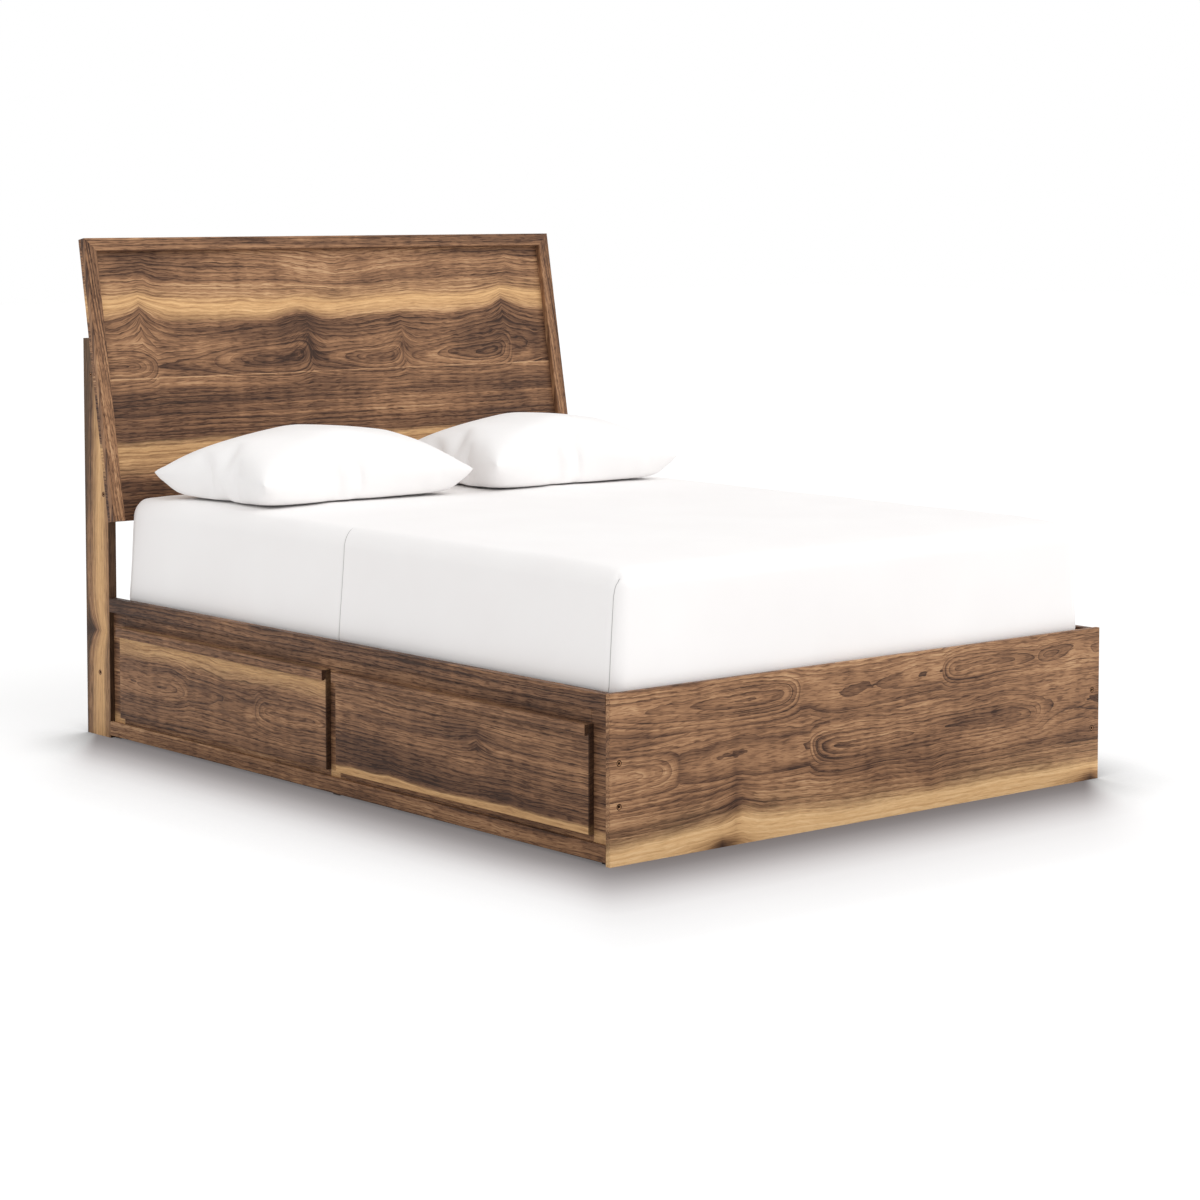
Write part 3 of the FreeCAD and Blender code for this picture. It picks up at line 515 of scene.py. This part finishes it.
# The fronts' and pulls' end faces are darkened, partly for their dark end grain and partly as
# painted shade in the gaps between them.
dress([name + "_front" for name in DRAWERS if "head" in name], head_drawer_walnut)
dress([name + "_front" for name in DRAWERS if "foot" in name], foot_drawer_walnut)
dress([name + "_pull" for name in DRAWERS], pull_walnut)
side_birch = birch("side_birch", lambda x, y, z: (x, z, y), 59.0)
dress([f"{name}_{hand}_side" for name in DRAWERS for hand in ("foot", "head")], side_birch)
rear_birch = birch("rear_birch", lambda x, y, z: (y, z, x), 61.0)
dress([name + "_rear" for name in DRAWERS], rear_birch)
tray_birch = birch("tray_birch", lambda x, y, z: (y, x, z), 67.0)
dress([name + "_tray" for name in DRAWERS], tray_birch)


def metal(name, colour, roughness, grain):
    """Plated steel with fine rolling marks."""
    finish = Finish(bpy.data.materials.new(name))
    x, y, z = finish.places()
    mark = finish.noise((x * 40, y * 900, z * 900), 3, 0.6)
    gloss = roughness + (mark - 0.5) * grain
    look = {"Base Color": paint(colour), "Metallic": 1.0, "Roughness": gloss}
    return finish.shade(look, mark, 0.00003)


runner_steel = metal("runner_steel", "c9ccd0", 0.32, 0.2)
dress(["runner_case_members"], runner_steel)
dress([f"{name}_{member}_members" for name in DRAWERS for member in ("middle", "box")],
      runner_steel)

# Bolts and glides
# Steel bolts with a bronze finish and a hexagon socket, sunk flush into the footboard and
# the legs, and square black nylon pads that hold the side units off the floor.
import bmesh
import math
from mathutils import Vector, noise


def wrap(shape, name, material, body="bed", smooth=True):
    """Makes a finished piece of a shape, on one of the bed's bodies."""
    mesh = bpy.data.meshes.new(name)
    shape.to_mesh(mesh)
    shape.free()
    if smooth:
        mesh.shade_smooth()
    piece = bpy.data.objects.new(name, mesh)
    bpy.context.scene.collection.objects.link(piece)
    mesh.materials.append(material)
    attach(piece, body)
    return piece


finish = Finish(bpy.data.materials.new("bolt_bronze"))
# Marked faces are painted dark: a painted shadow gap round each head and painted shade in its
# socket.
painted_gap_shade = finish.add("Attribute", {"attribute_name": "painted_gap_shade"}, {}, "Fac")
x, y, z = finish.places()
turning = finish.noise((x * 600, y * 600, z * 600), 3, 0.6)
bronze = finish.mix(painted_gap_shade, paint("a47a5a"), paint("24170f"))
bolt_bronze = finish.shade(
    {"Base Color": bronze, "Metallic": 1.0, "Roughness": 0.42 + (turning - 0.5) * 0.2},
    turning, 0.00003,
)
HEAD_AREA = 0.00008  # more than any other flat face of a bolt has
DARK_RIM = 0.0018
LIP_WIDTH = 0.0006
LIP_DROP = 0.0004
HEAD_BAND = 0.0009
SOCKET = 0.0036  # from the middle of the hexagon socket to its corners
SOCKET_DEPTH = 0.004
SIXTH = math.pi / 3
bolts = bmesh.new()
bolts.from_mesh(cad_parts["connector_bolts"].data)
bmesh.ops.remove_doubles(bolts, verts=bolts.verts, dist=0.00001)
bmesh.ops.dissolve_limit(bolts, angle_limit=0.01, verts=bolts.verts, edges=bolts.edges)
dark = bolts.faces.layers.float.new("painted_gap_shade")
heads = [face for face in bolts.faces if face.calc_area() > HEAD_AREA and len(face.verts) > 8]
rim = bmesh.ops.inset_individual(bolts, faces=heads, thickness=DARK_RIM, depth=0.0)
bmesh.ops.inset_individual(bolts, faces=heads, thickness=LIP_WIDTH, depth=-LIP_DROP)
bmesh.ops.inset_individual(bolts, faces=heads, thickness=HEAD_BAND, depth=0.0)
for head in heads:
    middle = head.calc_center_median()
    for vert in head.verts:
        arm = vert.co - middle
        turn = math.atan2(arm.z, arm.x + arm.y)
        off_flat = (turn + SIXTH / 2) % SIXTH - SIXTH / 2
        reach = SOCKET * math.cos(SIXTH / 2) / math.cos(off_flat)
        vert.co = middle + arm.normalized() * reach
wall = bmesh.ops.inset_individual(bolts, faces=heads, thickness=0.0, depth=-SOCKET_DEPTH)
# The flat rim round each head is a painted shadow gap; the socket's walls and floor hold painted
# shade.
for face in rim["faces"] + wall["faces"] + heads:
    face[dark] = 1.0
socket_bolts = wrap(bolts, "socket_bolts", bolt_bronze, smooth=False)
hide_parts("connector_bolts")

finish = Finish(bpy.data.materials.new("glide_nylon"))
x, y, z = finish.places()
grit = finish.noise((x * 700, y * 700, z * 700), 2)
glide_nylon = finish.shade(
    {"Base Color": paint("2a2522"), "Roughness": 0.55 + (grit - 0.5) * 0.2},
    grit, 0.0001,
)
dress(["floor_glides"], glide_nylon)

# Mattress
# A foam block in a white knitted cover, dropped between the side rails. The cover is
# seamed up the middle of each long side and up each corner.
def cut(shape, spot, facing):
    """Divides the faces of a shape along a plane, so that the shape can bend there."""
    bmesh.ops.bisect_plane(shape, geom=shape.verts[:] + shape.edges[:] + shape.faces[:],
                           plane_co=spot, plane_no=facing, dist=0.0001)


COVER_LOW, COVER_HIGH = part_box("mattress")
COVER_HIGH.y += 0.016  # the soft cover fills the gap at the headboard
MIDDLE = (COVER_HIGH + COVER_LOW) / 2
HALF = (COVER_HIGH - COVER_LOW) / 2
ROUND = 0.042  # radius of the edges
EDGE_BAND = 0.06  # along the edges, left without further cuts
SEAM = (COVER_LOW.y + COVER_HIGH.y) / 2 + 0.022  # a little past the middle
SEAM_STEP = 0.0045  # between the cuts that let it sink in
SEAM_REACH = 0.075  # how far in from a long side the seam is sewn
SEAM_HALF = 0.0015
SIDE_GROOVE = 0.0028  # how deep the stitches pull the seams in
CORNER_GROOVE = 0.0025
CORNER_OFFSET = 0.5412  # in edge radii, from a corner's middle to its seam
TURN_END = 0.009  # how far below the top that seam ends, on the corner's middle
HOOK_START = 0.018  # how far below the top it leaves the middle, and how fast
HOOK_LENGTH = 0.02
SIDE_LEAN = 0.022  # how far the tops of the sides and ends lean inwards
END_LEAN = 0.006
LEAN_REACH = 0.08  # how far in from them the lean is felt
WAVES = 0.0022  # how far the cover strays from flat, in broad waves and in folds
FOLDS = 0.0012
CROWN = 0.010  # how far the top swells
SIDE_DROOP = 0.008  # how far it falls again at the sides, the foot and the head
FOOT_DROOP = 0.016
HEAD_DROOP = 0.008
SIDE_FALL = 0.05  # how wide that fall is
END_FALL = 0.06

cover = bmesh.new()
bmesh.ops.create_cube(cover, size=1)
bmesh.ops.scale(cover, vec=COVER_HIGH - COVER_LOW, verts=cover.verts)
bmesh.ops.translate(cover, vec=MIDDLE, verts=cover.verts)
bmesh.ops.bevel(cover, geom=cover.edges[:], affect="EDGES", offset=ROUND, segments=8,
                profile=0.5, material=-1)
for axis, step in (("x", 0.032), ("y", 0.032), ("z", 0.03)):
    start = getattr(COVER_LOW, axis) + EDGE_BAND
    end = getattr(COVER_HIGH, axis) - EDGE_BAND
    count = max(3, round((end - start) / step))
    facing = Vector((axis == "x", axis == "y", axis == "z"))
    for number in range(count + 1):
        level = start + (end - start) * number / count
        cut(cover, facing * level, facing)
for step in range(-2, 3):
    cut(cover, (0, SEAM + step * SEAM_STEP, 0), (0, 1, 0))
cover.normal_update()
middle_seam = cover.verts.layers.float.new("middle_seam")
corner_seam = cover.verts.layers.float.new("corner_seam")
corner_turn = cover.verts.layers.float.new("corner_turn")
for vert in cover.verts:
    rise = (vert.co.z - COVER_LOW.z) / (COVER_HIGH.z - COVER_LOW.z)
    out = vert.co - MIDDLE
    inset = HALF.x - abs(out.x), HALF.y - abs(out.y)
    vert[middle_seam] = vert.co.y - SEAM
    below = COVER_HIGH.z - vert.co.z
    hook = 1 - math.exp(-max(0.0, below - HOOK_START) / HOOK_LENGTH)
    vert[corner_seam] = inset[0] - inset[1] + CORNER_OFFSET * ROUND * hook
    vert[corner_turn] = min(ROUND - max(inset), below - TURN_END)
    wave = noise.noise(Vector((vert.co.x * 3, vert.co.y * 3, vert.co.z * 6)))
    fold = noise.noise(Vector((vert.co.x * 14, vert.co.y * 14, vert.co.z * 1.5)))
    shift = vert.normal * (WAVES * wave + FOLDS * fold)
    side = max(0.0, 1 - inset[0] / LEAN_REACH)
    end = max(0.0, 1 - inset[1] / LEAN_REACH)
    shift.x -= math.copysign(side * SIDE_LEAN * rise, out.x)
    shift.y -= math.copysign(end * END_LEAN * rise, out.y)
    droop = SIDE_DROOP * math.exp(-inset[0] / SIDE_FALL)
    droop += (FOOT_DROOP if out.y < 0 else HEAD_DROOP) * math.exp(-inset[1] / END_FALL)
    shift.z += max(0.0, vert.normal.z) * (CROWN - droop)
    if inset[0] < SEAM_REACH and abs(vert[middle_seam]) < SEAM_HALF:
        shift -= vert.normal * SIDE_GROOVE
    if vert[corner_turn] > 0 and abs(vert[corner_seam]) < SEAM_HALF:
        shift -= vert.normal * CORNER_GROOVE
    vert.co += shift

finish = Finish(bpy.data.materials.new("mattress_knit"))
x, y, z = finish.places()
loops = finish.noise((x * 900, y * 900, z * 900), 1)
cloud = finish.noise((x * 5, y * 5, z * 5), 2)
offset = finish.add("Attribute", {"attribute_name": "middle_seam"}, {}, "Fac")
middle_seam_line = 1 - abs(offset).above(0.0012, 0.001)
middle_seam_line = middle_seam_line * abs(x).above(HALF.x - 0.085, 0.02)
offset = finish.add("Attribute", {"attribute_name": "corner_seam"}, {}, "Fac")
turn = finish.add("Attribute", {"attribute_name": "corner_turn"}, {}, "Fac")
corner = (1 - abs(offset).above(0.0014, 0.001)) * turn.above(0.008, 0.006)
# The seams' grey line is partly their thread and partly painted shade in the grooves that they
# sink into the cover.
thread_and_seam_shade = middle_seam_line.step("MAXIMUM", middle_seam_line, corner)
white = finish.mix(cloud, paint("f6f3f2"), paint("fbf9f8"))
colour = finish.mix(thread_and_seam_shade * 0.6, white, paint("8f8d8b"))
mattress_knit = finish.shade(
    {"Base Color": colour, "Roughness": 0.82 + (loops - 0.5) * 0.1, "Sheen Weight": 0.15},
    loops * 0.25 - thread_and_seam_shade, 0.0006,
)
mattress = wrap(cover, "mattress_cover", mattress_knit)
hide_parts("mattress")

# Pillows
# Two plump pillows in plain white cotton slips, sewn flat and filled, so that the sides
# pull in between four soft ears. They lie loose on the mattress, by the headboard.
EAR_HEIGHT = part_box("left_pillow")[0].z + 0.078
SLIP_WIDE = 0.80
SLIP_DEEP = 0.60
WIDE_PULL = 0.02  # how much narrower the slip is sewn at the middle of its sides
DEEP_PULL = 0.03
FILLING_FRAMES = 40


def fill_slip(name):
    """A flat slip sewn all round and blown up by its filling, about its own middle."""
    start_height = 0.08
    shape = bmesh.new()
    bmesh.ops.create_grid(shape, x_segments=64, y_segments=46, size=0.5)
    lower = bmesh.ops.duplicate(shape, geom=shape.verts[:] + shape.edges[:] + shape.faces[:])
    under = {part for part in lower["geom"] if isinstance(part, bmesh.types.BMVert)}
    bmesh.ops.reverse_faces(shape, faces=[part for part in lower["geom"]
                                          if isinstance(part, bmesh.types.BMFace)])
    for vert in shape.verts:
        ease = (1 - (2 * vert.co.x) ** 2) * (1 - (2 * vert.co.y) ** 2)
        height = start_height * max(0.0, ease) ** 0.45
        vert.co.x *= SLIP_WIDE * (1 - WIDE_PULL * (1 - (2 * vert.co.y) ** 2))
        vert.co.y *= SLIP_DEEP * (1 - DEEP_PULL * (1 - (2 * vert.co.x / SLIP_WIDE) ** 2))
        vert.co.z = -height if vert in under else height
    bmesh.ops.remove_doubles(shape, verts=shape.verts, dist=0.00001)
    mesh = bpy.data.meshes.new(name)
    shape.to_mesh(mesh)
    shape.free()
    slip = bpy.data.objects.new(name, mesh)
    bpy.context.scene.collection.objects.link(slip)
    cloth = slip.modifiers.new("filling", "CLOTH")
    cloth.point_cache.frame_start = 1
    cloth.point_cache.frame_end = FILLING_FRAMES
    cloth.settings.quality = 7
    cloth.settings.mass = 0.25
    cloth.settings.tension_stiffness = 25
    cloth.settings.compression_stiffness = 8
    cloth.settings.shear_stiffness = 8
    cloth.settings.bending_stiffness = 2
    cloth.settings.air_damping = 4
    cloth.settings.use_pressure = True
    cloth.settings.uniform_pressure_force = 3
    cloth.settings.effector_weights.gravity = 0
    for number in range(1, FILLING_FRAMES + 1):
        bpy.context.scene.frame_set(number)
    graph = bpy.context.evaluated_depsgraph_get()
    blown = bpy.data.meshes.new_from_object(slip.evaluated_get(graph))
    bpy.data.objects.remove(slip)
    bpy.context.scene.frame_set(1)
    return blown


def lay_pillow(name, node, ears, lift):
    """Lays a filled slip with its four ears at given places and its middle lifted above
    them; its belly lies flat on the mattress and bends up softly at the edge."""
    mesh = fill_slip(name + "_slip")
    shape = bmesh.new()
    shape.from_mesh(mesh)
    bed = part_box(node)[0].z + CROWN
    least = bed + 0.0005
    bend = 0.02  # how softly the belly is pressed flat
    belly = 0.03  # how far it would hang into the mattress
    wide = max(vert.co.x for vert in shape.verts)
    deep = max(vert.co.y for vert in shape.verts)
    crown = max(vert.co.z for vert in shape.verts)
    off_edge = [vert for vert in shape.verts if abs(vert.co.z) > 0.02]
    for _ in range(4):
        bmesh.ops.smooth_vert(shape, verts=off_edge, factor=0.5, use_axis_x=True,
                              use_axis_y=True, use_axis_z=True)
    for vert in shape.verts:
        across = vert.co.x / wide / 2 + 0.5
        along = vert.co.y / deep / 2 + 0.5
        near = ears[0].lerp(ears[1], across)
        far = ears[2].lerp(ears[3], across)
        plan = near.lerp(far, along)
        rise = vert.co.z / crown
        fall = 1 - (1 + max(rise, -1.0)) ** 2.4
        height = plan.z + (rise * lift if rise > 0 else -fall * (plan.z - bed + belly))
        if height < least + bend:
            height = least + bend * math.exp((height - least - bend) / bend)
        vert.co = (plan.x, plan.y, height)
    piece = wrap(shape, name, pillow_cotton)
    smooth = piece.modifiers.new("smooth", "SUBSURF")
    smooth.levels = 1
    smooth.render_levels = 1
    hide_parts(node)


finish = Finish(bpy.data.materials.new("pillow_cotton"))
x, y, z = finish.places()
weave = finish.noise((x * 1100, y * 1100, z * 1100), 1)
cloud = finish.noise((x * 7, y * 7, z * 7), 2)
colour = finish.mix(cloud, paint("f4f2f1"), paint("fbf9f8"))
pillow_cotton = finish.shade(
    {"Base Color": colour, "Roughness": 0.8 + (weave - 0.5) * 0.1, "Sheen Weight": 0.1},
    weave, 0.0002,
)
left_ears = [
    Vector((-0.724, 0.346, EAR_HEIGHT)),
    Vector((-0.014, 0.379, EAR_HEIGHT)),
    Vector((-0.735, 0.855, EAR_HEIGHT)),
    Vector((-0.030, 0.860, EAR_HEIGHT)),
]
lay_pillow("left_plump_pillow", "left_pillow", left_ears, lift=0.120)
right_ears = [
    Vector((0.025, 0.345, EAR_HEIGHT + 0.01)),
    Vector((0.690, 0.348, EAR_HEIGHT)),
    Vector((0.020, 0.845, EAR_HEIGHT)),
    Vector((0.720, 0.850, EAR_HEIGHT)),
]
lay_pillow("right_plump_pillow", "right_pillow", right_ears, lift=0.118)

# Studio
# A pale floor with the bed's soft shade painted into its colour, lying towards the camera
# and running out to white, a plain white room, and one large soft lamp high up beyond the foot.
def seen_plainly(finish):
    """1 for what the camera sees directly, or in metal or glass, and 0 for other light."""
    path = finish.add("LightPath", {}, {}, "Is Camera Ray")
    mirror = path.step("MAXIMUM", path.beside("Is Glossy Ray"), path.beside("Is Transmission Ray"))
    return path.step("MAXIMUM", path, mirror)


room = bpy.data.worlds.new("studio_room")
bpy.context.scene.world = room
finish = Finish(room)
light = finish.add("Background", {}, {"Color": paint("ffffff"), "Strength": 0.88})
white = finish.add("Background", {}, {"Color": paint("ffffff"), "Strength": 1.0})
view = finish.add("MixShader", {}, {0: seen_plainly(finish), 1: light, 2: white})
finish.add("OutputWorld", {}, {"Surface": view})


def warm(stops):
    """Greys of the floor's painted shade, a touch warm as if from the light off the walnut."""
    return [(place, (grey, *[grey * (0.9 + 0.11 * grey)] * 2, 1)) for place, grey in stops]


OPEN_FLOOR = 0.91  # the floor's own grey, where nothing shades it
ACROSS = 0.64  # the way in which the shade lies, across the bed and along it
ALONG = 0.77
HEAD_END = 1.07  # where what shades the floor ends, at the head and at the right side
RIGHT_END = 0.79
finish = Finish(bpy.data.materials.new("studio_floor"))
x, y, z = finish.places()
# The floor's colour holds painted shade: darker where ambient occlusion finds the bed close by,
# and darker still in a shadow painted out from the bed's left side and foot.
open_air = finish.add("AmbientOcclusion", {"samples": 16}, {"Distance": 0.35}, "AO")
floor_with_painted_shade = finish.ramp(open_air, [
    (0.5, 0.3), (0.6, 0.42), (0.7, 0.58), (0.8, 0.73), (0.95, OPEN_FLOOR),
])
beside = (-SIDE - x) * (1 / ACROSS)
before = (-FOOT - y) * (1 / ALONG)
# How far a place lies clear of the bed: the greater of the two, without a crease.
clear = (beside + before + ((beside - before) ** 2 + 0.0025) ** 0.5) * 0.5
clear = clear.step("MAXIMUM", clear, 0.0)
side_cast = finish.ramp(clear, warm([
    (0.0, 0.237), (0.06, 0.277), (0.094, 0.309), (0.14, 0.368), (0.19, 0.445), (0.236, 0.51),
    (0.307, 0.625), (0.378, 0.72), (0.47, 0.8), (0.59, 0.847), (0.73, 0.872), (0.9, OPEN_FLOOR),
]))
foot_cast = finish.ramp(clear, warm([
    (0.0, 0.178), (0.06, 0.213), (0.094, 0.24), (0.14, 0.303), (0.19, 0.372), (0.236, 0.447),
    (0.307, 0.565), (0.378, 0.66), (0.47, 0.755), (0.59, 0.806), (0.73, 0.843), (0.9, OPEN_FLOOR),
]))
cast = finish.mix((before - beside).above(0.0, 0.5), side_cast, foot_cast)
# The ends of the painted shade, ever softer with the way from the bed.
fade = (0.07 + clear * 0.5) ** -1
past_head = ((y + clear * ALONG - HEAD_END) * fade).above(0.0, 1.0)
past_right = ((x + clear * ACROSS - RIGHT_END) * fade).above(0.0, 1.0)
ending = past_head.step("MAXIMUM", past_head, past_right)
cast = finish.mix(ending, cast, (OPEN_FLOOR, OPEN_FLOOR, OPEN_FLOOR, 1))
floor_with_painted_shade = finish.mix(1.0, floor_with_painted_shade, cast, "DARKEN")
matt = finish.add("BsdfDiffuse", {}, {"Color": floor_with_painted_shade})
glow = finish.add("Emission", {}, {"Color": floor_with_painted_shade, "Strength": 1.3})
shown = finish.add("MixShader", {}, {0: seen_plainly(finish) * 0.5, 1: matt, 2: glow})
finish.add("OutputMaterial", {}, {"Surface": shown})
sheet = bmesh.new()
bmesh.ops.create_grid(sheet, x_segments=1, y_segments=1, size=30)
mesh = bpy.data.meshes.new("studio_floor")
sheet.to_mesh(mesh)
sheet.free()
mesh.materials.append(finish.owner)
floor = bpy.data.objects.new("studio_floor", mesh)
bpy.context.scene.collection.objects.link(floor)

sun = bpy.data.lights.new("soft_sun", "SUN")
sun.energy = 0.85
sun.angle = math.radians(50)
lamp = bpy.data.objects.new("soft_sun", sun)
lamp.rotation_euler = (math.radians(48), 0, math.radians(25))
bpy.context.scene.collection.objects.link(lamp)

LENS_DROP = 4.197  # degrees that the camera looks down
LENS_BEARING = 50.081  # degrees from the bed's width to the camera's view
lens = bpy.data.cameras.new("camera")
lens.lens = 91.578
lens.sensor_width = 36
lens.shift_y = -0.15
lens.shift_x = 0.0037
camera = bpy.data.objects.new("camera", lens)
camera.location = (-5.0142, -6.0978, 1.4533)
camera.rotation_euler = (
    math.radians(90 - LENS_DROP), 0, math.radians(LENS_BEARING - 90),
)
bpy.context.scene.collection.objects.link(camera)
bpy.context.scene.camera = camera
bpy.context.scene.view_settings.view_transform = "Standard"
